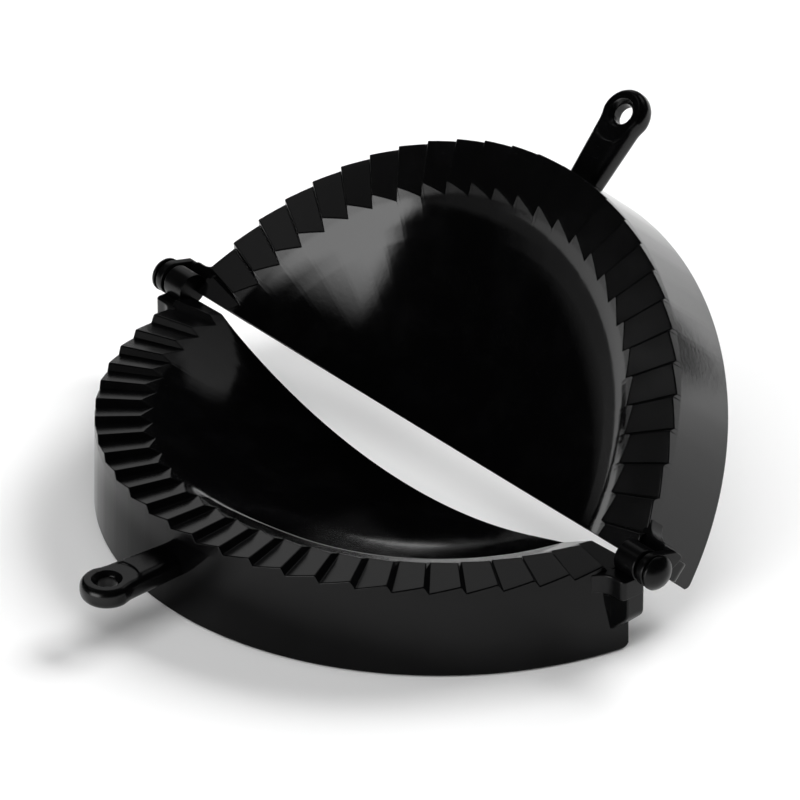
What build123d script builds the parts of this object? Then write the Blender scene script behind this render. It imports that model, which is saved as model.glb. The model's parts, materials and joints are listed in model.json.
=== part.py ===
from build123d import *
import os
from math import acos, asin, atan2, cos, degrees, radians, sin, sqrt, tan

# Empanada press: two moulded halves, each a shallow dish with a toothed rim, a skirt
# and a handle tab, hinged on two short domed pins. Millimetres.
# World frame: the hinge axis lies along X, the lower half reaches towards -Y and stands
# on Z = 0. The origin is on the table, in the middle of the length and the depth.
# Half frame, used for every moulded form: X along the hinge, Y outwards from the hinge
# across the rim, Z up out of the open side, with the origin on the hinge axis.

# ---------------------------------------------------------------- driving dimensions
hinge_height = 22.3        # hinge axis above the table
open_angle = 47.0          # the raised half's rim above the table, as the press stands

rim_radius = 75.0          # outside of the toothed rim
arc_offset = 9.85          # the rim's arc centre lies this far behind the hinge line
cut_gap = 0.15             # from the hinge plane to the cut face of a half
rim_drop = 1.3             # mean height of the teeth, below the hinge axis
rim_thickness = 2.0        # under the lowest line of the teeth

tooth_pitch = 6.0          # degrees of arc from one tooth to the next
tooth_rise = 1.65          # from the foot of a tooth's flank to its crest
flank_run = 1.05           # width of the steep flank, along the rim
tooth_length = 12.7        # across the rim, along a tooth's foot
tooth_end_angle = 48.0     # slope of the inner ends of the teeth, from upright

dish_radius = 147.0        # radius of the spherical dish
dish_depth = 14.1          # from the feet of the teeth to the bottom of the dish's sphere
dish_wall = 2.0

skirt_wall = 2.0
skirt_draft = 1.5          # degrees, the skirt widens towards its foot
skirt_corner = 1.6         # rounding of the skirt's foot at the cut face

lug_stand_out = 5.1        # outer face of the hinge lug, out from the rim's end
lug_drop = 1.9             # top of the lug, below the hinge axis
lug_depth = 11.6           # lower end of the lug's outer face, below the hinge axis
lug_foot_depth = 16.4      # where the lug's sloping foot runs into the skirt
lug_width = 4.8            # width of the lug's post, out from the hinge plane
lug_arm_width = 6.2        # width of the arm above the post
lug_arm_depth = 4.8        # height of that arm
lug_arm_fillet = 4.0       # hollow curve from the arm into the skirt
lug_edge = 0.8             # rounding of the lug's corners

barrel_length = 6.0        # lower half's hinge barrel
barrel_radius = 3.7
barrel_stand_out = 0.1     # the barrel's end stands this far out of the lug
barrel_clearance = 0.3     # round the barrel, in the upper half
bore_depth = 4.6           # blind hole for the pin, from the barrel's outer end

eye_gap = 0.8              # between the lug and the eye
eye_thickness = 2.0        # upper half's hinge eye
eye_radius = 3.8
web_reach = 5.0            # middle of the web from the lug to the eye, out from the hinge plane
web_radius = 0.9           # half its thickness, rounded at its top and foot
web_step = 0.2             # its top lies this far below the top of the lug
web_depth = 3.4            # from its top to its foot

pin_radius = 1.6
pin_running_fit = 0.06     # radial clearance in the eye
pin_push_fit = 0.01        # radial clearance in the barrel
pin_tip_gap = 0.3          # between the pin's tip and the bottom of its hole
pin_collar_radius = 2.9    # shoulder between the head and the eye
pin_collar_width = 0.35
pin_end_play = 0.1         # between the eye and the collar
pin_head_radius = 3.9
pin_head_rim = 0.6         # straight edge of the head
pin_head_crown = 2.1       # height of the dome over that edge
pin_tip_chamfer = 0.4

handle_length = 16.85      # centre of the hang hole, out from the rim
handle_drop = 10.5         # middle of the handle's thickness, below the hinge axis
handle_head_radius = 5.9
handle_thickness = 5.2
handle_root_width = 8.6
handle_neck_width = 10.4   # where the shank meets the round head
handle_edge = 2.2          # rounding of the handle's edges
hang_hole_radius = 2.4
hang_hole_flare = 0.9      # countersink at both mouths of the hole
head_step_radius = 6.8     # the head is thinner than the shank out to this circle
head_step_depth = 0.4

# ---------------------------------------------------------------- worked-out sizes
tooth_foot = -rim_drop - tooth_rise / 2
tooth_crest = -rim_drop + tooth_rise / 2
tooth_foot_radius = rim_radius - tooth_length
dish_bottom = tooth_foot - dish_depth
dish_middle = (0, -arc_offset, dish_bottom + dish_radius)
rim_underside = tooth_foot - rim_thickness


def skirt_radius(level):
    """Outside radius of the skirt at a height in the half frame."""
    return rim_radius + (tooth_crest - level) * tan(radians(skirt_draft))


def skirt_end(level):
    """Distance from the middle of the hinge to the skirt's outside, at the cut face."""
    return sqrt(skirt_radius(level) ** 2 - (arc_offset + cut_gap) ** 2)


def tooth_end_radius(level):
    """Radius of the sloping inner ends of the teeth at a height in the half frame."""
    return tooth_foot_radius + (level - tooth_foot) * tan(radians(tooth_end_angle))


foot_radius = skirt_radius(-hinge_height)
tooth_width = rim_radius * radians(tooth_pitch)
first_flank = int(degrees(asin(arc_offset / rim_radius)) // tooth_pitch)
flank_count = round(180 / tooth_pitch)
overcut = 1.5              # how far a cut runs on past what it cuts
valley_growth = 1 + overcut / tooth_rise

lug_overhang = skirt_end(tooth_crest) + lug_stand_out
barrel_outer = lug_overhang + barrel_stand_out
barrel_inner = barrel_outer - barrel_length
eye_inner = barrel_outer + eye_gap
eye_outer = eye_inner + eye_thickness
collar_start = eye_outer + pin_end_play
head_start = collar_start + pin_collar_width
pin_tip = barrel_outer - bore_depth + pin_tip_gap

# ---------------------------------------------------------------- the moulded shell
def tooth_plane(angle):
    """Upright plane across a tooth's foot line: its X runs along the rim, its Z outwards."""
    outwards = Vector(cos(radians(angle)), sin(radians(angle)), 0)
    along = Vector(-sin(radians(angle)), cos(radians(angle)), 0)
    start = outwards * (tooth_foot_radius - overcut) - Vector(0, arc_offset, 0)
    return Plane(origin=start, x_dir=along, z_dir=outwards)


with BuildPart() as dish_space:
    # A sphere, narrowed to the cone of the teeth's inner ends at its top.
    cone_top = tooth_crest + overcut
    cone_foot = dish_bottom - overcut
    with Locations((0, -arc_offset, (cone_top + cone_foot) / 2)):
        Cone(tooth_end_radius(cone_foot), tooth_end_radius(cone_top), cone_top - cone_foot)
    with Locations(dish_middle):
        Sphere(dish_radius, rotation=(90, 0, 0), mode=Mode.INTERSECT)

with BuildPart() as shell:
    # The dish's underside, then the rim and skirt turned about the same centre.
    with Locations(dish_middle):
        Sphere(dish_radius + dish_wall, rotation=(90, 0, 0))
    split(bisect_by=Plane.XY.offset(rim_underside + rim_thickness / 2), keep=Keep.BOTTOM)
    with BuildSketch(Plane.XZ.offset(arc_offset)):
        Polygon(
            (0, tooth_crest),
            (rim_radius, tooth_crest),
            (foot_radius, -hinge_height),
            (foot_radius - skirt_wall, -hinge_height),
            (skirt_radius(rim_underside) - skirt_wall, rim_underside),
            (0, rim_underside),
            align=None,
        )
    revolve(axis=Axis((0, -arc_offset, 0), (0, 0, 1)))
    add(dish_space, mode=Mode.SUBTRACT)
    split(bisect_by=Plane((0, cut_gap, 0), z_dir=(0, 1, 0)), keep=Keep.TOP)

    # Saw teeth: each valley falls steeply at its flank and climbs slowly to the next crest.
    for flank in range(first_flank, flank_count):
        foot_angle = flank * tooth_pitch + degrees(flank_run / 2 / rim_radius)
        with BuildSketch(tooth_plane(foot_angle)):
            with BuildLine():
                Polyline(
                    (0, tooth_foot),
                    (-flank_run * valley_growth, tooth_crest + overcut),
                    ((tooth_width - flank_run) * valley_growth, tooth_crest + overcut),
                    close=True,
                )
            make_face()
    extrude(amount=tooth_length + 2 * overcut, mode=Mode.SUBTRACT)

    # The skirt's feet are rounded at the cut face.
    feet = shell.edges().filter_by(Plane.XY).group_by(Axis.Z)[0].group_by(Axis.Y)[0]
    fillet(feet, radius=skirt_corner)


# ---------------------------------------------------------------- hinge lug, at +X
lug_wall_x = sqrt((rim_radius - skirt_wall / 2) ** 2 - (arc_offset + lug_width / 2) ** 2)
lug_foot_x = skirt_end(-lug_foot_depth)
arm_bottom = -lug_drop - lug_arm_depth
arm_skirt = skirt_radius(arm_bottom)
fillet_y = lug_arm_width + lug_arm_fillet
fillet_x = sqrt((arm_skirt + lug_arm_fillet) ** 2 - (arc_offset + fillet_y) ** 2)
fillet_share = arm_skirt / (arm_skirt + lug_arm_fillet)
wall_share = (rim_radius - skirt_wall / 2) / (arm_skirt + lug_arm_fillet)

with BuildPart() as lug:
    with BuildSketch(Plane.XZ.offset(-lug_width)):
        Polygon(
            (lug_wall_x, -lug_drop),
            (lug_overhang, -lug_drop),
            (lug_overhang, -lug_depth),
            (lug_foot_x, -lug_foot_depth),
            (lug_wall_x, -lug_foot_depth),
            align=None,
        )
    extrude(amount=lug_width - cut_gap)
    with BuildSketch(Plane.XY.offset(-lug_drop)):
        with BuildLine():
            Polyline(
                (fillet_x * wall_share, (arc_offset + fillet_y) * wall_share - arc_offset),
                (lug_wall_x, cut_gap),
                (lug_overhang, cut_gap),
                (lug_overhang, lug_arm_width),
                (fillet_x, lug_arm_width),
            )
            RadiusArc(
                (fillet_x, lug_arm_width),
                (fillet_x * fillet_share, (arc_offset + fillet_y) * fillet_share - arc_offset),
                lug_arm_fillet,
            )
            Line(
                (fillet_x * fillet_share, (arc_offset + fillet_y) * fillet_share - arc_offset),
                (fillet_x * wall_share, (arc_offset + fillet_y) * wall_share - arc_offset),
            )
        make_face()
    extrude(amount=-lug_arm_depth)
    corners = lug.edges().filter_by(Axis.Z).group_by(Axis.X)[-1].sort_by(Axis.Y)[1:]
    fillet(corners, radius=lug_edge)

with BuildPart() as moulding:
    add(shell)
    add(lug)
    mirror(lug.part, about=Plane.YZ)

# ---------------------------------------------------------------- lower half
with BuildPart() as lower_moulding:
    add(moulding)
    for side in (1, -1):
        with BuildSketch(Plane(origin=(side * barrel_inner, 0, 0), z_dir=(side, 0, 0))):
            Circle(barrel_radius)
        extrude(amount=barrel_length)
        with BuildSketch(Plane(origin=(side * barrel_outer, 0, 0), z_dir=(side, 0, 0))):
            Circle(pin_radius + pin_push_fit)
        extrude(amount=-bore_depth, mode=Mode.SUBTRACT)

# ---------------------------------------------------------------- upper half
web_top = Vector(web_reach, -lug_drop - web_step - web_radius)
web_foot = web_top - Vector(0, web_depth - 2 * web_radius)
web_side = Vector(web_radius, 0)


def tangent_normal(centre, turn):
    """Direction square to the line that touches both the eye and the web's rounding there."""
    angle = atan2(centre.Y, centre.X) + turn * acos((eye_radius - web_radius) / centre.length)
    return Vector(cos(angle), sin(angle))


with BuildPart() as eye:
    with BuildSketch(Plane.YZ.offset(eye_inner)):
        upper, lower = tangent_normal(web_top, 1), tangent_normal(web_foot, -1)
        with BuildLine():
            brow = Line(upper * eye_radius, web_top + upper * web_radius)
            TangentArc(brow @ 1, web_top + web_side, tangent=brow % 1)
            Line(web_top + web_side, web_foot + web_side)
            chin = Line(web_foot + lower * web_radius, lower * eye_radius)
            TangentArc(web_foot + web_side, chin @ 0, tangent=(0, -1))
            TangentArc(chin @ 1, brow @ 0, tangent=chin % 1)
        make_face()
        Circle(pin_radius + pin_running_fit, mode=Mode.SUBTRACT)
    extrude(amount=eye_thickness)
    with BuildSketch(Plane.YZ.offset(lug_overhang - lug_edge)):
        with Locations((web_top + web_foot) / 2):
            SlotCenterToCenter((web_top - web_foot).length, 2 * web_radius, rotation=90)
    extrude(amount=eye_outer - lug_overhang + lug_edge)

notch_start = barrel_inner - barrel_clearance
with BuildPart() as upper_moulding:
    add(moulding)
    for side in (1, -1):
        with BuildSketch(Plane(origin=(side * notch_start, 0, 0), z_dir=(side, 0, 0))):
            Circle(barrel_radius + barrel_clearance)
        extrude(amount=lug_overhang + overcut - notch_start, mode=Mode.SUBTRACT)
    add(eye)
    mirror(eye.part, about=Plane.YZ)

# ---------------------------------------------------------------- handle tab
handle_root = rim_radius - arc_offset - skirt_wall / 2
handle_reach = rim_radius - arc_offset + handle_length
neck_reach = handle_reach - sqrt(handle_head_radius**2 - (handle_neck_width / 2) ** 2)
head_half = handle_thickness / 2 - head_step_depth
hole_mouth_radius = hang_hole_radius + hang_hole_flare

with BuildPart() as handle_tab:
    with BuildSketch(Plane.XY.offset(-handle_drop)):
        Polygon(
            (-handle_root_width / 2, handle_root),
            (handle_root_width / 2, handle_root),
            (handle_neck_width / 2, neck_reach),
            (-handle_neck_width / 2, neck_reach),
            align=None,
        )
        with Locations((0, handle_reach)):
            Circle(handle_head_radius)
    extrude(amount=handle_thickness / 2, both=True)
    faces = handle_tab.faces().filter_by(Axis.Z)
    rounded = ShapeList(faces.edges()).sort_by(Axis.Y)[2:]
    fillet(rounded, radius=handle_edge)
    for face in (1, -1):
        head_side = Plane((0, handle_reach, face * head_half - handle_drop), z_dir=(0, 0, face))
        with BuildSketch(head_side):
            Circle(head_step_radius)
        extrude(amount=head_step_depth, mode=Mode.SUBTRACT)
        with Locations(head_side):
            CounterSinkHole(hang_hole_radius, hole_mouth_radius, handle_thickness, counter_sink_angle=90)
    with Locations((0, -arc_offset, (tooth_crest - hinge_height) / 2)):
        Cone(foot_radius, rim_radius, hinge_height + tooth_crest, mode=Mode.SUBTRACT)

# ---------------------------------------------------------------- where the halves stand
def reach(angle):
    """How far a half, with its handle, reaches along Y when tilted by an angle."""
    tilt = Location((0, 0, 0), (angle, 0, 0))
    return max(piece.part.moved(tilt).bounding_box().max.Y for piece in (moulding, handle_tab))


hinge_y = (reach(0) - reach(open_angle)) / 2
lower_pose = Location((0, hinge_y, hinge_height), (0, 0, 180))
upper_pose = Location((0, hinge_y, hinge_height), (open_angle, 0, 0))

# ---------------------------------------------------------------- hinge pins
head_face = head_start + pin_head_rim
crown_radius = (pin_head_radius**2 + pin_head_crown**2) / (2 * pin_head_crown)


def hinge_pin(side):
    """Headed pin along the hinge axis; side is 1 for the right end and -1 for the left."""
    with BuildPart() as pin:
        with BuildSketch(Plane(origin=(0, hinge_y, hinge_height), x_dir=(side, 0, 0))):
            with BuildLine():
                Polyline(
                    (head_face + pin_head_crown, 0),
                    (pin_tip, 0),
                    (pin_tip, pin_radius - pin_tip_chamfer),
                    (pin_tip + pin_tip_chamfer, pin_radius),
                    (collar_start, pin_radius),
                    (collar_start, pin_collar_radius),
                    (head_start, pin_collar_radius),
                    (head_start, pin_head_radius),
                    (head_face, pin_head_radius),
                )
                RadiusArc((head_face, pin_head_radius), (head_face + pin_head_crown, 0), crown_radius)
            make_face()
        revolve(axis=Axis((0, hinge_y, hinge_height), (1, 0, 0)))
    return pin


# ---------------------------------------------------------------- finished pieces
with BuildPart() as lower_handle:
    with Locations(lower_pose):
        add(handle_tab)
with BuildPart() as upper_handle:
    with Locations(upper_pose):
        add(handle_tab)
with BuildPart() as lower_half:
    with Locations(lower_pose):
        add(lower_moulding)
with BuildPart() as upper_half:
    with Locations(upper_pose):
        add(upper_moulding)

os.makedirs("parts", exist_ok=True)
pieces = {
    "lower_half": lower_half,
    "lower_handle": lower_handle,
    "upper_half": upper_half,
    "upper_handle": upper_handle,
    "right_hinge_pin": hinge_pin(1),
    "left_hinge_pin": hinge_pin(-1),
}
for name, piece in pieces.items():
    piece.part.label = name
    export_step(piece.part, f"parts/{name}.step")
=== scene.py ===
import json
from math import acos, atan2, cos, pi, radians, sin, sqrt, tan

import bmesh
import bpy
import numpy as np
from mathutils import Euler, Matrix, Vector
from mathutils.geometry import delaunay_2d_cdt


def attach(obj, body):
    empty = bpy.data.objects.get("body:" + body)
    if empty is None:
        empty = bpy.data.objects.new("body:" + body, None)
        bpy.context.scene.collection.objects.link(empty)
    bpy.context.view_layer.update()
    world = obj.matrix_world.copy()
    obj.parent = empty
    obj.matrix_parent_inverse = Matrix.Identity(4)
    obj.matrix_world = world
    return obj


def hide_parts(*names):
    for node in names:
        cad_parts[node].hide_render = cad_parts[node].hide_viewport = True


# Empanada press: two moulded halves with toothed rims, their handle tabs and two hinge pins.
# Sizes are millimetres in the half frame: X along the hinge, Y outwards from it across the
# rim, Z up out of the open side, with the origin on the hinge axis. Meshes are in metres.

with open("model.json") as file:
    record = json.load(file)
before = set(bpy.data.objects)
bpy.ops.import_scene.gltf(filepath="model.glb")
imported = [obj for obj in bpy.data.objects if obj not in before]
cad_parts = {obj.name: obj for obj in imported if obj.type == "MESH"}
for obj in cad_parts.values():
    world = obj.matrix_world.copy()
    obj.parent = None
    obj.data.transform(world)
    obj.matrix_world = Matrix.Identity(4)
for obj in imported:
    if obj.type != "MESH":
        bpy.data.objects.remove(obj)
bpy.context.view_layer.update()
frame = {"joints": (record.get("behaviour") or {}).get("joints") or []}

hinge_joint = frame["joints"][0]
HINGE = np.array(hinge_joint["pos_m"]) * 1000
OPEN_ANGLE = radians(-hinge_joint["range_deg"][0])
HINGE_HEIGHT = HINGE[2]

# ---------------------------------------------------------------- sizes of the mouldings
RIM_RADIUS = 75.0
ARC_OFFSET = 9.85          # the rim's arc centre lies this far behind the hinge line
CUT_GAP = 0.15             # from the hinge plane to the cut face
TOOTH_PITCH = radians(6.0)
TOOTH_RISE = 1.65
FLANK_RUN = 1.05
TOOTH_FOOT = -2.125
TOOTH_CREST = TOOTH_FOOT + TOOTH_RISE
TOOTH_END_SLOPE = tan(radians(62.0))
TOOTH_FOOT_RADIUS = 62.3
DISH_RADIUS = 147.0
DISH_CENTRE = TOOTH_FOOT - 14.1 + DISH_RADIUS
BALL_EDGE = 59.1           # the dish is a ball out to here, then runs on straight
FRONT_BALL_EDGE = 43.5     # the same at the front of the lower half
DISH_WALL = 2.0
RIM_UNDERSIDE = -4.125
SKIRT_WALL = 2.0
SKIRT_SLOPE = tan(radians(1.5))
FOOT_CORNER = 1.6
CUT_EDGE = 0.22            # rounding along the cut face
FIRST_TOOTH, LAST_TOOTH = 1, 29

LUG_FACE = 79.43
LUG_TOP = -1.9
LUG_FACE_FOOT = -11.6      # lower end of the post's outer face
LUG_FOOT = -16.4
LUG_FOOT_X = 74.3          # where the post's sloping foot runs into the skirt
LUG_WALL_RADIUS = 74.0     # the lugs start inside the skirt's wall
LUG_WALL = sqrt(LUG_WALL_RADIUS**2 - (ARC_OFFSET + 2.4) ** 2)
POST_WIDTH = 4.8
POST_SINK = 0.03           # the post lies this far inside the arm
ARM_WIDTH = 6.2
ARM_DEPTH = 4.8
ARM_HOLLOW = 4.0           # radius of the hollow curve from the arm into the skirt

BARREL_ROOT = 73.5
BARREL_RADIUS = 3.7
BARREL_FACE = LUG_FACE + 0.1
BARREL_ROOM = 0.3          # free all round the barrel in the raised half
BORE_END = 75.2
BORE_RADIUS = 1.61
PIN_RADIUS = 1.6
EYE_INNER = BARREL_FACE + 0.8
EYE_THICKNESS = 2.0
EYE_OUTER = EYE_INNER + EYE_THICKNESS
EYE_RADIUS = 3.8
EYE_HOLE = 1.66
WEB_TOP = (5.0, -3.0)      # centres of the web's round ends, outwards and up from the pin
WEB_FOOT = (5.0, -4.6)
WEB_HALF = 0.9
COLLAR_START = EYE_OUTER + 0.1
COLLAR_RADIUS = 2.9
HEAD_START = COLLAR_START + 0.35
HEAD_EDGE = HEAD_START + 0.6
HEAD_RADIUS = 3.9
CROWN_HEIGHT = 2.1
CROWN_RADIUS = 4.671       # of the ball whose cap the dome is

HANDLE_REACH = 82.0        # centre of the hang hole, out from the hinge plane
HANDLE_ROOT = 63.6
HANDLE_ROOT_HALF = 4.3
HANDLE_NECK_HALF = 5.2
HANDLE_HEAD_RADIUS = 5.9
HANDLE_MIDDLE = -10.5
HANDLE_HALF = 2.6
HANDLE_EDGE = 2.2
STEP_DEPTH = 0.4           # the faces round the hang hole lie this much lower
STEP_START, STEP_RUN = 6.75, 0.3
FACE_RINGS = (14, 11, 9, 7.9, 7.3, 7.1, 6.95, 6.8, 6.65, 6.4, 5.6, 4.6, 4.0, 3.7, 3.5, 3.36)
MOUTH_RINGS = ((3.28, 0.05), (3.16, 0.16), (2.9, 0.42), (2.55, 0.77), (2.43, 0.97), (2.4, 1.25), (2.4, 2.2))


# ---------------------------------------------------------------- where the forms stand
def on_lower(points):
    """Half frame to row frame: half a turn about the upright, then up to the hinge."""
    return HINGE + points * (-1, -1, 1)


def on_upper(points):
    """Half frame to row frame: tilted up about the hinge line by the open angle, then up to the hinge."""
    x, y, z = np.moveaxis(points, -1, 0)
    tilted = (x, y * cos(OPEN_ANGLE) - z * sin(OPEN_ANGLE), y * sin(OPEN_ANGLE) + z * cos(OPEN_ANGLE))
    return HINGE + np.stack(tilted, -1)


def on_hinge(points):
    """Points about the hinge axis to row frame."""
    return HINGE + points


def flipped(points):
    """The mirror image across the middle of the hinge."""
    return points * (-1, 1, 1)


# ---------------------------------------------------------------- building a skin
class Skin:
    """Grids and caps gathered into one closed mesh."""

    def __init__(self):
        self.points = []
        self.faces = []
        self.count = 0

    def _add(self, points):
        flat = points.reshape(-1, 3)
        start = self.count
        self.points.append(flat)
        self.count += len(flat)
        return start

    def grid(self, points, closed=False):
        """Four-sided faces between neighbours in an array of rows by columns; closed joins the
        last column to the first."""
        rows, columns = points.shape[:2]
        number = self._add(points) + np.arange(rows * columns).reshape(rows, columns)
        if closed:
            number = np.concatenate([number, number[:, :1]], 1)
        quads = np.stack([number[:-1, :-1], number[:-1, 1:], number[1:, 1:], number[1:, :-1]], -1)
        self.faces += quads.reshape(-1, 4).tolist()

    def cap(self, ring, flat):
        """Triangles inside a closed ring of points, found from the same ring drawn flat."""
        start = self._add(ring)
        loop = [tuple(range(len(ring)))]
        found = delaunay_2d_cdt([Vector(point) for point in flat.tolist()], [], loop, 1, 1e-7)
        first = [min(same) for same in found[3]]
        self.faces += [[start + first[corner] for corner in triangle] for triangle in found[2]]

    def mesh(self, name):
        """The skin as a mesh: doubles merged and faces turned outwards."""
        mesh = bpy.data.meshes.new(name)
        mesh.from_pydata(np.concatenate(self.points) * 0.001, [], self.faces)
        work = bmesh.new()
        work.from_mesh(mesh)
        bmesh.ops.remove_doubles(work, verts=work.verts, dist=2e-6)
        bmesh.ops.dissolve_degenerate(work, edges=work.edges, dist=1e-6)
        bmesh.ops.recalc_face_normals(work, faces=work.faces)
        work.to_mesh(mesh)
        work.free()
        return mesh


def hollowed(mesh, form):
    """The mesh with another mesh's form taken out of it."""
    solid = bpy.data.objects.new(mesh.name, mesh)
    cutter = bpy.data.objects.new(form.name, form)
    for made in (solid, cutter):
        bpy.context.scene.collection.objects.link(made)
    cut = solid.modifiers.new("hollow", "BOOLEAN")
    cut.object = cutter
    cut.operation = "DIFFERENCE"
    cut.solver = "EXACT"
    cut.use_self = True
    result = bpy.data.meshes.new_from_object(solid.evaluated_get(bpy.context.evaluated_depsgraph_get()))
    for made in (solid, cutter):
        bpy.data.objects.remove(made)
    name = mesh.name
    bpy.data.meshes.remove(mesh)
    result.name = name
    return result


def show(mesh, body, finish, replaced=()):
    """The mesh as a piece of the press, riding on its body."""
    mesh.shade_smooth()
    mesh.set_sharp_from_angle(angle=radians(40))
    mesh.materials.clear()
    mesh.materials.append(finish)
    made = bpy.data.objects.new(mesh.name, mesh)
    bpy.context.scene.collection.objects.link(made)
    even = made.modifiers.new("even_shading", "WEIGHTED_NORMAL")
    even.weight = 80
    even.keep_sharp = True
    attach(made, body)
    if replaced:
        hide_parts(*replaced)


def eased(corners, setbacks, steps=4):
    """Lines through corners with each corner eased: from one setback before it to one setback
    after it the line follows the parabola (1-t)^2 A + 2t(1-t) P + t^2 B. Corners run along the
    first axis and every other axis is eased at once; the lines are treated as closed, and an
    open one has no setback at its two ends."""
    corners = np.asarray(corners, float)
    shape = (-1,) + (1,) * (corners.ndim - 1)
    setbacks = np.asarray(setbacks, float).reshape(shape)

    def towards(neighbour):
        run = neighbour - corners
        length = np.maximum(np.linalg.norm(run, axis=-1, keepdims=True), 1e-9)
        return corners + run * np.minimum(setbacks / length, 0.45)

    start = towards(np.roll(corners, 1, 0))[:, None]
    end = towards(np.roll(corners, -1, 0))[:, None]
    t = np.linspace(0, 1, steps + 1).reshape((1, -1) + (1,) * (corners.ndim - 1))
    curve = (1 - t) ** 2 * start + 2 * t * (1 - t) * corners[:, None] + t**2 * end
    return curve.reshape((-1,) + corners.shape[1:])


def without_repeats(line):
    """The line with points closer than a hundredth of a millimetre to the one before left out."""
    gap = np.linalg.norm(line - np.roll(line, 1, 0), axis=-1)
    return line[gap > 0.01]


def outward_of(loop):
    """Unit vectors in the plane, square to a closed loop at each point, away from its inside."""
    along = np.roll(loop, -1, 0) - np.roll(loop, 1, 0)
    square = np.stack([along[:, 1], -along[:, 0]], -1)
    square /= np.linalg.norm(square, axis=1, keepdims=True)
    x, y = loop.T
    area = np.sum(x * np.roll(y, -1) - np.roll(x, -1) * y)
    return square * np.sign(area)


def quarter_round(edge):
    """A rounded edge in five rings from its side to its face: how far each is drawn in,
    edge (1 - cos a), and how far it still lies from the face, edge (1 - sin a)."""
    angle = np.linspace(0, pi / 2, 5)
    return edge * (1 - np.cos(angle)), edge * (1 - np.sin(angle))


def arc(centre, radius, start, end, count):
    """Points on a circle between two angles in degrees."""
    angle = np.radians(np.linspace(start, end, count))
    return np.stack([centre[0] + radius * np.cos(angle), centre[1] + radius * np.sin(angle)], -1)


# ---------------------------------------------------------------- the toothed shells
def saw_wave():
    """Angles along the rim and the share of the tooth's rise at each: a slow straight climb over
    most of a pitch, a steep straight fall over the rest, the crests and feet eased."""
    tooth = np.arange(FIRST_TOOTH, LAST_TOOTH + 1)[:, None]
    climb = TOOTH_PITCH * RIM_RADIUS - FLANK_RUN
    share = np.array([0, 1 / 3, 2 / 3, 1])
    along = tooth * TOOTH_PITCH * RIM_RADIUS + FLANK_RUN / 2 + share * climb
    height = np.broadcast_to(share * TOOTH_RISE, along.shape)
    corners = np.stack([along.ravel(), height.ravel()], -1)
    setbacks = np.tile([0.22, 0, 0, 0.3], len(tooth))
    setbacks[[0, -1]] = 0
    line = without_repeats(eased(corners, setbacks))
    return line[:, 0] / RIM_RADIUS, line[:, 1] / TOOTH_RISE


def skirt_radius(level):
    """Outside radius of the skirt: the rim's, growing evenly towards the foot."""
    return RIM_RADIUS + (TOOTH_CREST - level) * SKIRT_SLOPE


def ball_level(radius, ball):
    """Height of the lower side of a ball about the dish's centre, at a radius from its middle."""
    return DISH_CENTRE - np.sqrt(ball**2 - radius**2)


def foot_level(out):
    """Lowest level of the skirt at a distance out from the hinge plane: flat, with a round
    corner at the cut."""
    short = FOOT_CORNER - np.clip(out - CUT_GAP, 0, FOOT_CORNER)
    return -HINGE_HEIGHT + FOOT_CORNER - np.sqrt(FOOT_CORNER**2 - short**2)


def edge_slope(ball_edge):
    """Slope of the dish at the ball's edge, r / sqrt(R^2 - r^2)."""
    return ball_edge / sqrt(DISH_RADIUS**2 - ball_edge**2)


def dish_level(radius, ball_edge):
    """Height of the dish's surface at a radius: the ball out to its edge, then straight on at
    the slope it has there."""
    straight = edge_slope(ball_edge) * max(radius - ball_edge, 0)
    return ball_level(min(radius, ball_edge), DISH_RADIUS) + straight


def dish_mouth(ball_edge):
    """Radius where the dish's straight run meets the cone of the teeth's inner ends."""
    slope = edge_slope(ball_edge)
    run_start = ball_level(ball_edge, DISH_RADIUS) - slope * ball_edge
    cone_start = TOOTH_FOOT - TOOTH_FOOT_RADIUS / TOOTH_END_SLOPE
    return (cone_start - run_start) / (slope - 1 / TOOTH_END_SLOPE)


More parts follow.
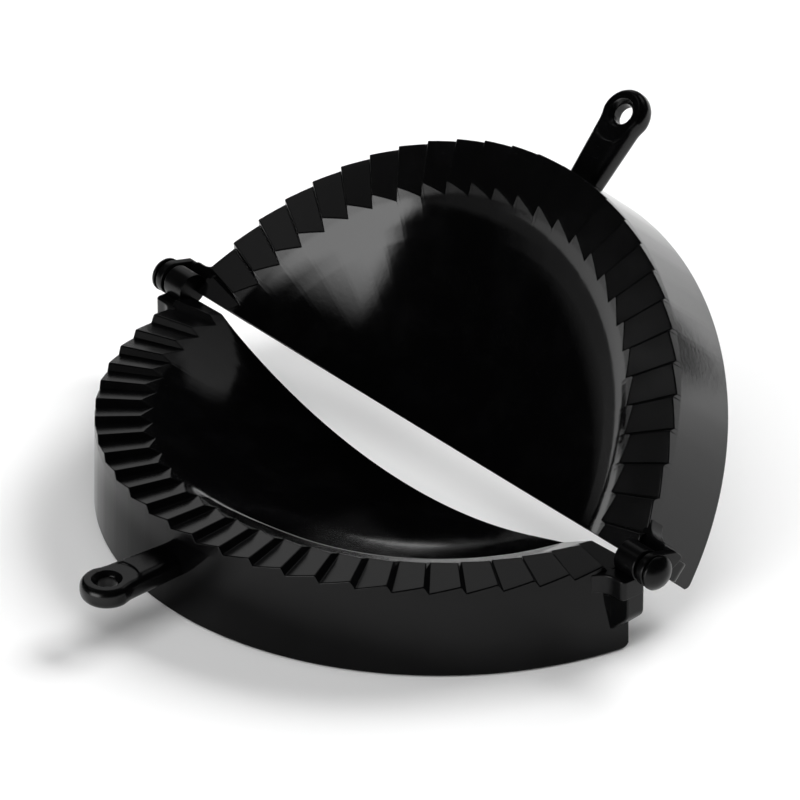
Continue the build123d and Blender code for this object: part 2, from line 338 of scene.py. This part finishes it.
def shell_rows(ball_edge, mouth_setback):
    """The columns' angles and the points of the moulded shell, rows across the rim by columns
    along it. Each column is the section dish, tooth end, tooth, rim, skirt, foot and underside
    at one angle of the arc; near the cut the angle is held where the arc meets the cut plane."""
    cut = ARC_OFFSET + CUT_GAP + CUT_EDGE
    wave_angle, wave_share = saw_wave()
    crowded = np.array([0, 0.15, 0.35, 0.6, 0.95, 1.4])  # columns stand closer by the cut
    near_cut = np.arcsin((cut + crowded) / RIM_RADIUS)
    angles = np.unique(np.concatenate([wave_angle, near_cut, pi - near_cut]))
    lowest = np.arcsin(cut / skirt_radius(-HINGE_HEIGHT))
    half_pitch = TOOTH_PITCH / 2
    angles = angles[(angles > lowest - half_pitch) & (angles < pi - lowest + half_pitch)]

    def held(radius):
        """The columns' angles, held inside the cut plane at this radius."""
        limit = np.arcsin(cut / radius)
        return np.clip(angles, limit, pi - limit)

    def share_at(radius):
        return np.interp(held(radius), wave_angle, wave_share)

    def tooth_level(radius, share):
        return TOOTH_FOOT + TOOTH_RISE * share * radius / RIM_RADIUS

    def crease(share):
        """Where a tooth's sloping inner end meets its top."""
        return TOOTH_FOOT_RADIUS / (1 - TOOTH_END_SLOPE * TOOTH_RISE * share / RIM_RADIUS)

    def ring(radius, level):
        """One row of points at a radius and level, each of them one number or one a column."""
        radius = radius + 0 * angles
        angle = held(radius)
        x, y = radius * np.cos(angle), radius * np.sin(angle) - ARC_OFFSET
        return np.stack([x, y, level + 0 * angles], -1)

    def under_level(radius):
        return ball_level(radius, DISH_RADIUS + DISH_WALL)

    mouth = dish_mouth(ball_edge)
    ease_in = mouth - 4.5
    crease_share = share_at(TOOTH_FOOT_RADIUS + 1)
    crease_radius = crease(crease_share)
    rib_radius = RIM_RADIUS - 1.4
    rim_level = TOOTH_FOOT + TOOTH_RISE * share_at(RIM_RADIUS)
    foot = foot_level(ring(skirt_radius(-HINGE_HEIGHT), 0)[:, 1])
    under_radius = sqrt((DISH_RADIUS + DISH_WALL) ** 2 - (DISH_CENTRE - RIM_UNDERSIDE) ** 2)
    under_start = under_radius - 2
    corners = (
        (ring(ease_in, dish_level(ease_in, ball_edge)), 0),
        (ring(mouth, dish_level(mouth, ball_edge)), mouth_setback),
        (ring(crease_radius, tooth_level(crease_radius, crease_share)), 0.28),
        (ring(rib_radius, tooth_level(rib_radius, share_at(rib_radius))), 0),
        (ring(skirt_radius(rim_level), rim_level), 0.32),
        (ring(skirt_radius(RIM_UNDERSIDE), RIM_UNDERSIDE), 0),
        (ring(skirt_radius(foot), foot), 0.45),
        (ring(skirt_radius(foot) - SKIRT_WALL, foot), 0.45),
        (ring(skirt_radius(RIM_UNDERSIDE) - SKIRT_WALL, RIM_UNDERSIDE), 0.8),
        (ring(under_radius, RIM_UNDERSIDE), 1.0),
        (ring(under_start, under_level(under_start)), 0),
    )
    dish = [ring(r, dish_level(r, ball_edge)) for r in np.linspace(cut, ease_in, 60)[:-1]]
    rim = eased(*zip(*corners))
    under = [ring(r, under_level(r)) for r in np.linspace(under_start, cut, 20)[1:]]
    return angles, np.concatenate([dish, rim, under])


def add_rows(skin, place, rows):
    """The shell's rows, then a quarter-round along the cut, drawn in from the section as it
    nears the hinge plane, and a cap."""
    skin.grid(place(rows))
    section = without_repeats(np.concatenate([rows[:, 0], rows[::-1, -1]]))
    flat = section[:, [0, 2]]
    drawn_in, short = quarter_round(CUT_EDGE)
    x, z = np.moveaxis(flat - drawn_in[:, None, None] * outward_of(flat), -1, 0)
    y = CUT_GAP + short[:, None] + 0 * x
    rings = place(np.stack([x, y, z], -1))
    skin.grid(rings, closed=True)
    skin.cap(rings[-1], np.stack([x[-1], z[-1]], -1))


def add_upper_shell(skin, place):
    """The raised half's shell, its dish a ball nearly out to the teeth."""
    add_rows(skin, place, shell_rows(BALL_EDGE, 2.0)[1])


def add_lower_shell(skin, place):
    """The lower half's shell: from 82 to 104 degrees round the rim its dish goes over to a
    straight run that starts further in, with a crisper corner at the teeth."""
    angles, rows = shell_rows(BALL_EDGE, 2.0)
    front_rows = shell_rows(FRONT_BALL_EDGE, 0.6)[1]
    front = np.clip((np.degrees(angles) - 82) / 22, 0, 1)
    share = (front * front * (3 - 2 * front))[:, None]
    add_rows(skin, place, rows + share * (front_rows - rows))


# ---------------------------------------------------------------- solids with rounded edges
def add_slab(skin, outline, low, high, edge, place):
    """A flat form from its closed outline: rings go up its low edge and over its high one in
    quarter-rounds, with a flat cap at each end. place takes outline x, outline y and height."""
    drawn_in, short = quarter_round(edge)
    drawn_in = np.concatenate([drawn_in[::-1], drawn_in])
    height = np.concatenate([low + short[::-1], high - short])
    loops = outline - drawn_in[:, None, None] * outward_of(outline)
    level = np.broadcast_to(height[:, None, None], loops.shape[:2] + (1,))
    rings = place(np.concatenate([loops, level], -1))
    skin.grid(rings, closed=True)
    skin.cap(rings[0], loops[0])
    skin.cap(rings[-1], loops[-1])


def add_turned(skin, profile, place, parts=72):
    """A form turned about the hinge line from a profile of distance along it and radius."""
    turn = np.linspace(0, 2 * pi, parts, endpoint=False)
    along, radius = profile[:, :1], profile[:, 1:]
    points = np.stack([along + 0 * turn, radius * np.cos(turn), radius * np.sin(turn)], -1)
    skin.grid(place(points), closed=True)


# ---------------------------------------------------------------- hinge lugs, barrels and eyes
def upright(points):
    """From outline along the hinge, outline up, height outwards."""
    x, z, y = np.moveaxis(points, -1, 0)
    return np.stack([x, y, z], -1)


def endways(points):
    """From outline outwards, outline up, height along the hinge."""
    y, z, x = np.moveaxis(points, -1, 0)
    return np.stack([x, y, z], -1)


def arm_outline():
    """The lug's arm seen from above. It runs into the skirt in a hollow curve whose centre lies
    the curve's radius outside both the arm's side and the skirt."""
    skirt = skirt_radius(LUG_TOP - ARM_DEPTH)
    up = ARM_WIDTH + ARM_HOLLOW + ARC_OFFSET
    centre = np.array([sqrt((skirt + ARM_HOLLOW) ** 2 - up**2), up - ARC_OFFSET])
    inward = np.degrees(atan2(-up, -centre[0]))
    hollow = arc(centre, ARM_HOLLOW, -90, inward, 12)
    to_arc = (0, ARC_OFFSET)
    in_wall = (centre + to_arc) * LUG_WALL_RADIUS / (skirt + ARM_HOLLOW) - to_arc
    side = [(LUG_WALL, CUT_GAP), (LUG_FACE, CUT_GAP), (LUG_FACE, ARM_WIDTH)]
    line = eased([tuple(in_wall), *side, tuple(hollow[0])], [0, 0, 0.7, 1.3, 0])
    return without_repeats(np.concatenate([line, hollow[1:]]))


def add_lug(skin, place):
    """The hinge lug: a post down the skirt with a sloping foot, and an arm above it. The post
    lies just inside the arm, so that no two of their faces share a plane."""
    top, face = LUG_TOP - POST_SINK, LUG_FACE - POST_SINK
    foot = [(face, LUG_FACE_FOOT), (LUG_FOOT_X, LUG_FOOT), (LUG_WALL, LUG_FOOT)]
    post = without_repeats(eased([(LUG_WALL, top), (face, top), *foot], [0.59, 0.7, 1.2, 0.59, 0.59]))
    add_slab(skin, post, CUT_GAP + POST_SINK, POST_WIDTH, 0.4, lambda points: place(upright(points)))
    add_slab(skin, arm_outline(), LUG_TOP - ARM_DEPTH, LUG_TOP, 0.45, place)


def add_barrel_room(skin, place):
    """The round room that the raised half leaves for the other half's barrel."""
    room = BARREL_RADIUS + BARREL_ROOM
    start, end = BARREL_ROOT - 0.27, LUG_FACE + 1.5
    add_turned(skin, np.array([(start, 0), (start, room), (end, room), (end, 0)]), place)


def add_barrel(skin, place):
    """The lower half's hinge barrel, bored for its pin, with an eased edge."""
    outside = [(BARREL_ROOT, 0), (BARREL_ROOT, BARREL_RADIUS), (BARREL_FACE, BARREL_RADIUS)]
    bore = [(BARREL_FACE, BORE_RADIUS), (BORE_END, BORE_RADIUS), (BORE_END, 0)]
    add_turned(skin, eased(outside + bore, [0, 0.1, 0.35, 0.2, 0, 0]), place)


def eye_outline():
    """The eye's round edge, joined by two straight tangents to the thin web beside it. Each
    tangent touches at the angle of the web's centre, plus or less acos((R - r) / reach)."""

    def touch(centre, turn):
        reach = np.hypot(*centre)
        return np.degrees(atan2(centre[1], centre[0]) + turn * acos((EYE_RADIUS - WEB_HALF) / reach))

    upper, lower = touch(WEB_TOP, 1), touch(WEB_FOOT, -1)
    round_edge = arc((0, 0), EYE_RADIUS, upper, lower + 360, 56)
    foot = arc(WEB_FOOT, WEB_HALF, lower, 0, 8)
    top = arc(WEB_TOP, WEB_HALF, 0, upper, 8)
    return without_repeats(np.concatenate([round_edge, foot, top]))


def add_eye(skin, place):
    """The raised half's hinge eye round the pin, and the web that ties it to the lug."""
    outline = eye_outline()
    turn = np.arctan2(outline[:, 1], outline[:, 0])
    hole = EYE_HOLE * np.stack([np.cos(turn), np.sin(turn)], -1)
    edge = 0.3
    drawn_in, short = quarter_round(edge)
    over = outline - drawn_in[:, None, None] * outward_of(outline)
    loops = [hole, *over[::-1], *over, hole, hole]
    heights = [EYE_INNER, *(EYE_INNER + short[::-1]), *(EYE_OUTER - short), EYE_OUTER, EYE_INNER]
    level = np.broadcast_to(np.array(heights)[:, None, None], (len(heights), len(outline), 1))
    skin.grid(place(endways(np.concatenate([loops, level], -1))), closed=True)
    web = np.concatenate([arc(WEB_TOP, WEB_HALF, 0, 180, 12), arc(WEB_FOOT, WEB_HALF, 180, 360, 12)])
    web = without_repeats(web)
    add_slab(skin, web, LUG_FACE - 0.8, EYE_OUTER - 0.6, edge, lambda points: place(endways(points)))


# ---------------------------------------------------------------- pins
def add_pin(skin, place):
    """A headed pin: shank in the barrel, collar against the eye, and a domed head."""
    crown = arc((HEAD_EDGE + CROWN_HEIGHT - CROWN_RADIUS, 0), CROWN_RADIUS, 56.6, 0, 16)
    tip, bevel = BORE_END + 0.03, 0.4
    shank = [(tip, 0), (tip, PIN_RADIUS - bevel), (tip + bevel, PIN_RADIUS), (COLLAR_START, PIN_RADIUS)]
    collar = [(COLLAR_START, COLLAR_RADIUS), (HEAD_START, COLLAR_RADIUS)]
    head = [(HEAD_START, HEAD_RADIUS), (HEAD_EDGE, HEAD_RADIUS), tuple(crown[1])]
    line = eased(shank + collar + head, [0, 0, 0, 0, 0.1, 0.1, 0.2, 0.25, 0])
    add_turned(skin, np.concatenate([line, crown[2:]]), place)


# ---------------------------------------------------------------- handle tabs
def handle_outline():
    """The tab from above: straight sides that widen outwards, eased into a round head."""
    neck = (HANDLE_NECK_HALF, HANDLE_REACH - sqrt(HANDLE_HEAD_RADIUS**2 - HANDLE_NECK_HALF**2))
    root = (HANDLE_ROOT_HALF, HANDLE_ROOT)
    turn = np.degrees(atan2(neck[1] - HANDLE_REACH, neck[0])) + 22
    head = arc((0, HANDLE_REACH), HANDLE_HEAD_RADIUS, turn, 180 - turn, 60)
    side = np.linspace(root, neck, 30)[:-3]
    joint = eased([tuple(side[-1]), neck, tuple(head[0])], [0, 5, 0], 8)[9:18]
    side = np.concatenate([side, joint[:-1]])
    across = np.linspace((-HANDLE_ROOT_HALF, HANDLE_ROOT), root, 14)[1:-1]
    return without_repeats(np.concatenate([side, head, (side * (-1, 1))[::-1], across]))


def add_handle(skin, place):
    """The tab in rings about its hang hole, at heights above and below its middle. From the
    outline the edge goes round by e (1 - cos a), e (1 - sin a), except across the root inside
    the skirt, where the rings only draw together; then the face runs in to the flared mouth of
    the hole and down it. The face is held under a ceiling c that steps down about the hole, with
    a soft change: the height is (h + c - sqrt((h - c)^2 + s^2)) / 2."""
    outline = handle_outline()
    centre = np.array([0, HANDLE_REACH])
    inside = -outward_of(outline)
    at_root = outline[:, 1] < HANDLE_ROOT + 0.01
    inside[at_root] = outline[at_root] * (-1 / HANDLE_ROOT_HALF, 0)
    angle = np.radians(np.arange(0, 91, 10))
    loops = [outline + HANDLE_EDGE * (1 - cos(a)) * inside for a in angle]
    rises = [HANDLE_HALF - HANDLE_EDGE * (1 - sin(a)) for a in angle]
    spoke = loops[-1] - centre
    far = np.linalg.norm(spoke, axis=1, keepdims=True)
    spoke = spoke / far
    for reach in FACE_RINGS:
        loops.append(centre + spoke * np.minimum(far, reach))
        rises.append(HANDLE_HALF)
    for radius, depth in MOUTH_RINGS:
        loops.append(centre + spoke * radius)
        rises.append(HANDLE_HALF - STEP_DEPTH - depth)
    loops = np.array(loops)
    rise = np.broadcast_to(np.array(rises)[:, None], loops.shape[:2])
    from_hole = np.linalg.norm(loops - centre, axis=-1)
    step = np.clip((from_hole - STEP_START) / STEP_RUN, 0, 1)
    ceiling = HANDLE_HALF - STEP_DEPTH * (1 - step * step * (3 - 2 * step))
    soft = 0.06
    rise = (rise + ceiling - np.sqrt((rise - ceiling) ** 2 + soft**2)) / 2
    upper = np.concatenate([loops, (HANDLE_MIDDLE + rise)[..., None]], -1)
    lower = np.concatenate([loops, (HANDLE_MIDDLE - rise)[..., None]], -1)
    skin.grid(place(np.concatenate([lower[::-1], upper])), closed=True)
    bore = np.stack([lower[-1], upper[-1]])
    skin.grid(place(bore), closed=True)


# ---------------------------------------------------------------- shader writing
class Value:
    """A number on its way through a node tree; arithmetic on it adds Math nodes."""

    def __init__(self, finish, socket):
        self.finish = finish
        self.socket = socket

    def _math(self, operation, *values):
        return self.finish.node("Math", {"operation": operation}, dict(enumerate(values)))

    def __add__(self, other):
        return self._math("ADD", self, other)

    def __sub__(self, other):
        return self._math("SUBTRACT", self, other)

    def __rsub__(self, other):
        return self._math("SUBTRACT", other, self)

    def __mul__(self, other):
        return self._math("MULTIPLY", self, other)

    def __truediv__(self, other):
        return self._math("DIVIDE", self, other)

    def __rtruediv__(self, other):
        return self._math("DIVIDE", other, self)

    def __pow__(self, other):
        return self._math("POWER", self, other)

    __radd__ = __add__
    __rmul__ = __mul__


class Finish:
    """The nodes of a piece's material, a lamp or the studio being written: node() adds any node
    from its type, settings and inputs."""

    def __init__(self, owner, kind="Material"):
        owner.use_nodes = True
        self.owner = owner
        self.tree = owner.node_tree
        self.tree.nodes.clear()
        self.output = self.tree.nodes.new("ShaderNodeOutput" + kind)

    def node(self, kind, settings=None, inputs=None, output=0):
        """Adds a node, sets its settings, then its sockets from numbers or from other nodes.
        The setting "stops" gives a colour ramp's places and greys in order."""
        made = self.tree.nodes.new("ShaderNode" + kind)
        for name, value in (settings or {}).items():
            if name == "stops":
                ramp = made.color_ramp
                for stop, (place, grey) in zip((ramp.elements[0], ramp.elements[1]), (value[0], value[-1])):
                    stop.position, stop.color = place, (grey, grey, grey, 1)
                for place, grey in value[1:-1]:
                    ramp.elements.new(place).color = (grey, grey, grey, 1)
            else:
                setattr(made, name, value)
        for name, value in (inputs or {}).items():
            if isinstance(value, Value):
                self.tree.links.new(value.socket, made.inputs[name])
            else:
                made.inputs[name].default_value = value
        return Value(self, made.outputs[output])

    def step(self, value, start, end):
        """0 at start and 1 at end, with a smooth step from one to the other."""
        limits = {"Value": value, "From Min": start, "From Max": end}
        return self.node("MapRange", {"interpolation_type": "SMOOTHSTEP"}, limits)

    def blend(self, share, first, second):
        """One colour going over to another; sockets 6 and 7 are the Mix node's two colours."""
        return self.node("Mix", {"data_type": "RGBA"}, {"Factor": share, 6: first, 7: second}, output=2)

    def surface(self, shader):
        """Ends the tree in a shader and returns what the tree belongs to."""
        self.tree.links.new(shader.socket, self.output.inputs["Surface"])
        return self.owner


def rim_mask(finish, spot, half):
    """1 on the teeth and 0 in the dish and on the skirt, from the place on the moulding: the
    distance from the middle of the rim's arc, and the height in the half frame. Metres here."""
    turn = {"lower": (0, 0, pi), "upper": (-OPEN_ANGLE, 0, 0)}[half]
    hinge = Euler(turn).to_matrix() @ Vector(HINGE * 0.001)
    move = (0, ARC_OFFSET * 0.001 - hinge.y, -hinge.z)
    spot = finish.node("Mapping", {}, {"Vector": spot, "Rotation": turn, "Location": move})
    x, y, level = (finish.node("SeparateXYZ", {}, {"Vector": spot}, output=axis) for axis in "XYZ")
    radius = (x * x + y * y) ** 0.5
    return finish.step(radius, 0.0618, 0.0632) * finish.step(level, -0.0042, -0.0032)


def gloss_black(name, roughness, wave_height, seed, gloss, half=None):
    """Black moulded plastic: a gloss with the long shallow waves and fine ripple of the mould,
    faint rubbed patches and a few hair marks. The teeth of a half are a little duller."""
    finish = Finish(bpy.data.materials.new(name))
    spot = finish.node("TexCoord", output="Object")
    grain = finish.node("Mapping", {}, {"Vector": spot, "Location": (seed, seed * 0.37, 0.0)})
    drawn = {"Vector": grain, "Rotation": (0.4, 0.2, 0.7), "Scale": (1.0, 26.0, 9.0)}
    drawn = finish.node("Mapping", {}, drawn)

    def noise(place, scale, detail, harshness):
        inputs = {"Vector": place, "Scale": scale, "Detail": detail, "Roughness": harshness}
        return finish.node("TexNoise", {}, inputs)

    slow = noise(grain, 34.0, 2.0, 0.45)
    rubbed = noise(grain, 95.0, 6.0, 0.62)
    ripple = noise(grain, 900.0, 3.0, 0.5)
    hairs = noise(drawn, 60.0, 4.0, 0.7)
    hairs = finish.node("ValToRGB", {"stops": [(0.66, 0.0), (0.74, 1.0)]}, {"Fac": hairs})
    rubbed = finish.node("ValToRGB", {"stops": [(0.48, 0.0), (0.78, 1.0)]}, {"Fac": rubbed})
    shine = slow * 0.04 + rubbed * 0.04 + hairs * 0.05 + (roughness - 0.02)
    if half:
        shine = shine + rim_mask(finish, spot, half) * 0.15
    wave = finish.node("Bump", {}, {"Height": slow, "Strength": 1.0, "Distance": wave_height})
    fine = {"Height": ripple, "Strength": 0.35, "Distance": 0.00001, "Normal": wave}
    plastic = {
        "Base Color": finish.blend(rubbed, (0.0009, 0.0009, 0.001, 1), (0.002, 0.002, 0.0022, 1)),
        "Roughness": shine,
        "IOR": 1.5,
        "Specular IOR Level": gloss,
        "Normal": finish.node("Bump", {}, fine),
    }
    return finish.surface(finish.node("BsdfPrincipled", {}, plastic))


def floor_paper():
    """Plain pale studio paper, with a barely seen unevenness."""
    finish = Finish(bpy.data.materials.new("studio_paper"))
    spot = finish.node("TexCoord", output="Object")
    cloud = finish.node("TexNoise", {}, {"Vector": spot, "Scale": 3.0, "Detail": 2.0})
    tone = finish.blend(cloud, (0.93, 0.93, 0.93, 1), (0.96, 0.96, 0.96, 1))
    return finish.surface(finish.node("BsdfDiffuse", {}, {"Color": tone, "Roughness": 0.6}))


# ---------------------------------------------------------------- the press
def both_sides(add, place, name):
    """One form at the right end of the hinge and its mirror image at the left, as one mesh."""
    skin = Skin()
    add(skin, place)
    add(skin, lambda points: place(flipped(points)))
    return skin.mesh(name)


def whole(add, place, name):
    """One form as one mesh."""
    skin = Skin()
    add(skin, place)
    return skin.mesh(name)


def on_left_hinge(points):
    """The pin's mirror image at the left end of the hinge."""
    return on_hinge(flipped(points))


# Both halves are the same plastic. The lower shell gets a shaded copy with a lower specular level (0.15
# against 0.33) so that its skirt mirrors the pale floor darker: painted shade.
lower_shaded_black = gloss_black("lower_shell_shaded_plastic", 0.07, 0.00003, 3.1, gloss=0.15, half="lower")
upper_black = gloss_black("upper_shell_plastic", 0.07, 0.00003, 5.3, gloss=0.33, half="upper")
hinge_black = gloss_black("hinge_plastic", 0.28, 0.00002, 7.7, gloss=0.18)
handle_black = gloss_black("handle_plastic", 0.24, 0.00003, 11.9, gloss=0.25)

barrel_room = both_sides(add_barrel_room, on_upper, "barrel_room")
show(whole(add_lower_shell, on_lower, "lower_shell"), "lower", lower_shaded_black, ["lower_half"])
show(both_sides(add_lug, on_lower, "lower_hinge_lugs"), "lower", hinge_black)
show(both_sides(add_barrel, on_lower, "hinge_barrels"), "lower", hinge_black)
show(whole(add_handle, on_lower, "lower_handle_tab"), "lower", handle_black, ["lower_handle"])
upper_shell = hollowed(whole(add_upper_shell, on_upper, "upper_shell"), barrel_room)
show(upper_shell, "upper", upper_black, ["upper_half"])
upper_lugs = hollowed(both_sides(add_lug, on_upper, "upper_hinge_lugs"), barrel_room)
show(upper_lugs, "upper", hinge_black)
show(both_sides(add_eye, on_upper, "hinge_eyes"), "upper", hinge_black)
show(whole(add_handle, on_upper, "upper_handle_tab"), "upper", handle_black, ["upper_handle"])
show(whole(add_pin, on_hinge, "right_domed_pin"), "lower", hinge_black, ["right_hinge_pin"])
show(whole(add_pin, on_left_hinge, "left_domed_pin"), "lower", hinge_black, ["left_hinge_pin"])


# ---------------------------------------------------------------- floor, lamps and camera
LAMP_DISTANCE = 1.6        # metres, like the rest of the studio
PRESS_MIDDLE = 0.04
paper = floor_paper()


def paper_disc(name, centre, radius, level):
    """A round sheet of the studio's paper, lying at a level under the press."""
    turn = np.linspace(0, 2 * pi, 96, endpoint=False)
    x, y = centre[0] + radius * np.cos(turn), centre[1] + radius * np.sin(turn)
    mesh = bpy.data.meshes.new(name)
    mesh.from_pydata(np.stack([x, y, 0 * turn + level], -1), [], [tuple(range(len(turn)))])
    mesh.materials.append(paper)
    disc = bpy.data.objects.new(name, mesh)
    bpy.context.scene.collection.objects.link(disc)
    return disc


paper_disc("studio_floor", (0.5, 0.7), 1.3, -0.0002)
far_floor = paper_disc("far_floor", (0.0, 0.0), 5.0, -0.0004)
far_floor.visible_glossy = False  # past the near sheet the press mirrors the dark studio


def toward(azimuth, elevation):
    """Unit vector from the press towards a place in the studio; azimuth 0 is -Y and 90 is +X."""
    a, e = radians(azimuth), radians(elevation)
    return Vector((sin(a) * cos(e), -cos(a) * cos(e), sin(e)))


def softbox(name, azimuth, elevation, width, height, brightness, soft=(0.15, 0.15), mirrored=True):
    """A rectangular soft lamp facing the press from LAMP_DISTANCE; brightness 1 is seen as white.
    Its light fades to nothing over a share of its width and of its height at each edge. One that
    is not mirrored lights the floor without showing in the gloss."""
    light = bpy.data.lights.new(name, "AREA")
    light.shape = "RECTANGLE"
    light.size, light.size_y = width, height
    light.energy = brightness * pi * width * height
    glow = Finish(light, "Light")
    spot = glow.node("NewGeometry", output="Parametric")
    strength = 1.0
    for axis, share in zip("XY", soft):
        along = glow.node("SeparateXYZ", {}, {"Vector": spot}, output=axis)
        strength = strength * glow.step(along, 0.0, share) * glow.step(along, 1.0, 1.0 - share)
    glow.surface(glow.node("Emission", {}, {"Strength": strength}))
    lamp = bpy.data.objects.new(name, light)
    away = toward(azimuth, elevation)
    lamp.location = away * LAMP_DISTANCE + Vector((0, 0, PRESS_MIDDLE))
    lamp.rotation_mode = "QUATERNION"
    lamp.rotation_quaternion = away.to_track_quat("Z", "Y")
    lamp.visible_camera = False
    lamp.visible_glossy = mirrored
    bpy.context.scene.collection.objects.link(lamp)


softbox("front_softbox", 2, 10, 1.2, 1.1, 6.2, soft=(0.1, 0.27))
softbox("floor_lamp", 180, 40, 1.2, 1.0, 13.5, mirrored=False)
softbox("fill_lamp", 20, 75, 1.6, 1.6, 2.0, mirrored=False)
softbox("left_panel", -121, 23, 0.85, 1.4, 0.65)
softbox("back_panel", -170, 46, 0.9, 0.8, 0.75)
softbox("upper_panel", -59, 52, 0.6, 0.5, 0.6, soft=(0.3, 0.3))

# The studio is dark, and a little lighter below the horizon.
studio = Finish(bpy.data.worlds.new("dark_studio"), "World")
direction = studio.node("TexCoord", output="Generated")
height = studio.node("SeparateXYZ", {}, {"Vector": direction}, output="Z")
horizon = {"Value": height, "From Min": -0.02, "From Max": 0.03, "To Min": 0.22, "To Max": 0.006}
glimmer = {"Color": (1, 1, 1, 1), "Strength": studio.node("MapRange", {}, horizon)}
bpy.context.scene.world = studio.surface(studio.node("Background", {}, glimmer))

lens = bpy.data.cameras.new("camera")
lens.lens = 327.49
lens.sensor_width = 36
lens.dof.use_dof = False
camera = bpy.data.objects.new("camera", lens)
camera.location = (1.04505, -0.86572, 0.83071)
camera.rotation_mode = "QUATERNION"
camera.rotation_quaternion = toward(50.08, 30.523).to_track_quat("Z", "Y")
bpy.context.scene.collection.objects.link(camera)
bpy.context.scene.camera = camera
bpy.context.scene.view_settings.view_transform = "Standard"
